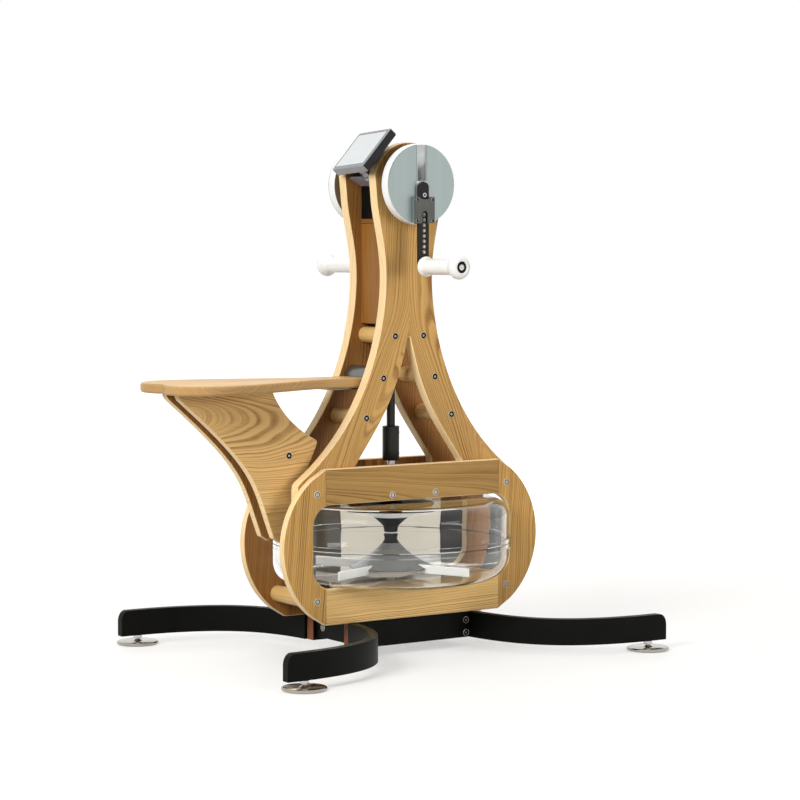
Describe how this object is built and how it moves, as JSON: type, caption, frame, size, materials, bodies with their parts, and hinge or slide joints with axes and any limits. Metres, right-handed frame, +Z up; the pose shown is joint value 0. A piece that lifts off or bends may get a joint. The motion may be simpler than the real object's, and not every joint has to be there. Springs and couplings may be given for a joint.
{
  "type": "water grinder ergometer",
  "caption": "Arm-crank trainer with water resistance: two crank arms on a forked wooden tower, a clear water tank between oval wooden frames, a fold-up seat and bent black legs with disc feet.",
  "frame": {"origin": "on the floor, under the middle of the machine's length and width", "axes": "+Z up, +X away from the user along the machine, +Y to the rear side of the crank axle"},
  "size_m": [1.0353, 0.766, 1.0958],
  "materials": {
    "ash": "clear satin oil",
    "black_wood": "black stain, satin",
    "black_metal": "black coat",
    "black_plastic": "moulded, matt",
    "steel": "bright",
    "polished_steel": "polished",
    "white_plastic": "moulded, satin",
    "clear_plastic": "clear moulded plastic",
    "rubber": "matt",
    "grey_metal": "grey coat",
    "screen": "clear window over a grey display"
  },
  "bodies": {
    "frame": {"base_rail_front": "black_wood", "base_rail_rear": "black_wood", "leg_front_left": "black_wood", "leg_front_right": "black_wood", "leg_rear_left": "black_wood", "leg_rear_right": "black_wood", "tank_frame_front": "ash", "tank_frame_rear": "ash", "tank_frame_dowel_left": "ash", "tank_frame_dowel_right": "ash", "tower_plate_front": "ash", "tower_plate_rear": "ash", "tower_dowel_upper_left": "ash", "tower_dowel_upper_right": "ash", "tower_dowel_middle_right": "ash", "tower_dowel_lower_left": "ash", "tower_dowel_lower_right": "ash", "tower_panel_left": "ash", "tower_panel_right": "ash", "gear_shelf": "ash", "gear_housing": "black_plastic", "axle_bearing_front": "steel", "axle_bearing_rear": "steel", "monitor_bracket": "grey_metal", "tank_lower": "clear_plastic", "tank_upper": "clear_plastic", "tank_gasket": "rubber", "bearing_block": "ash", "bearing_housing": "black_plastic", "seat_hinge_bolt": "steel"},
    "crank": {"crank_axle": "steel", "axle_gear": "steel", "crank_disc_front": "white_plastic", "crank_disc_rear": "white_plastic", "disc_face_front": "polished_steel", "disc_face_rear": "polished_steel", "arm_clamp_front": "black_metal", "arm_clamp_rear": "black_metal"},
    "shaft": {"drive_shaft": "black_metal", "shaft_coupling": "black_metal", "impeller_shaft": "steel", "impeller": "black_plastic", "pinion_gear": "steel"},
    "seat": {"seat_board": "ash", "seat_bracket_front": "ash", "seat_bracket_rear": "ash", "seat_hinge": "grey_metal"},
    "monitor": {"monitor_case": "black_plastic", "monitor_screen": "screen"},
    "arm_front": {"arm_bar_front": "black_metal", "grip_pin_front": "steel"},
    "grip_front": {"grip_front": "white_plastic"},
    "arm_rear": {"arm_bar_rear": "black_metal", "grip_pin_rear": "steel"},
    "grip_rear": {"grip_rear": "white_plastic"},
    "foot_front_left": {"foot_front_left": "steel"},
    "foot_front_right": {"foot_front_right": "steel"},
    "foot_rear_left": {"foot_rear_left": "steel"},
    "foot_rear_right": {"foot_rear_right": "steel"}
  },
  "joints": [
    {"name": "crank_spin", "type": "hinge", "parent": "frame", "child": "crank", "pos_m": [0.04475, 0, 0.981], "axis": [0, 1, 0], "continuous": true},
    {"name": "shaft_spin", "type": "hinge", "parent": "frame", "child": "shaft", "pos_m": [0.04475, 0, 0], "axis": [0, 0, 1], "continuous": true},
    {"name": "seat_fold", "type": "hinge", "parent": "frame", "child": "seat", "pos_m": [-0.02045, 0, 0.5785], "axis": [0, 1, 0], "range_deg": [0, 65]},
    {"name": "monitor_tilt", "type": "hinge", "parent": "frame", "child": "monitor", "pos_m": [-0.03646, -0.02368, 1.00952], "axis": [0.0817, 0.9956, -0.0459], "range_deg": [-25, 0]},
    {"name": "arm_slide_front", "type": "slide", "parent": "crank", "child": "arm_front", "axis": [0, 0, 1], "range_m": [0, 0.055]},
    {"name": "grip_spin_front", "type": "hinge", "parent": "arm_front", "child": "grip_front", "pos_m": [0.04475, -0.19, 0.811], "axis": [0, 1, 0], "continuous": true},
    {"name": "arm_slide_rear", "type": "slide", "parent": "crank", "child": "arm_rear", "axis": [0, 0, 1], "range_m": [0, 0.055]},
    {"name": "grip_spin_rear", "type": "hinge", "parent": "arm_rear", "child": "grip_rear", "pos_m": [0.04475, 0.19, 0.811], "axis": [0, 1, 0], "continuous": true},
    {"name": "foot_front_left_screw", "type": "slide", "parent": "frame", "child": "foot_front_left", "axis": [0, 0, -1], "range_m": [0, 0.006]},
    {"name": "foot_front_right_screw", "type": "slide", "parent": "frame", "child": "foot_front_right", "axis": [0, 0, -1], "range_m": [0, 0.006]},
    {"name": "foot_rear_left_screw", "type": "slide", "parent": "frame", "child": "foot_rear_left", "axis": [0, 0, -1], "range_m": [0, 0.006]},
    {"name": "foot_rear_right_screw", "type": "slide", "parent": "frame", "child": "foot_rear_right", "axis": [0, 0, -1], "range_m": [0, 0.006]}
  ],
  "couplings": [
    {"joint": "shaft_spin", "follows": "crank_spin", "ratio": 1.4286}
  ]
}
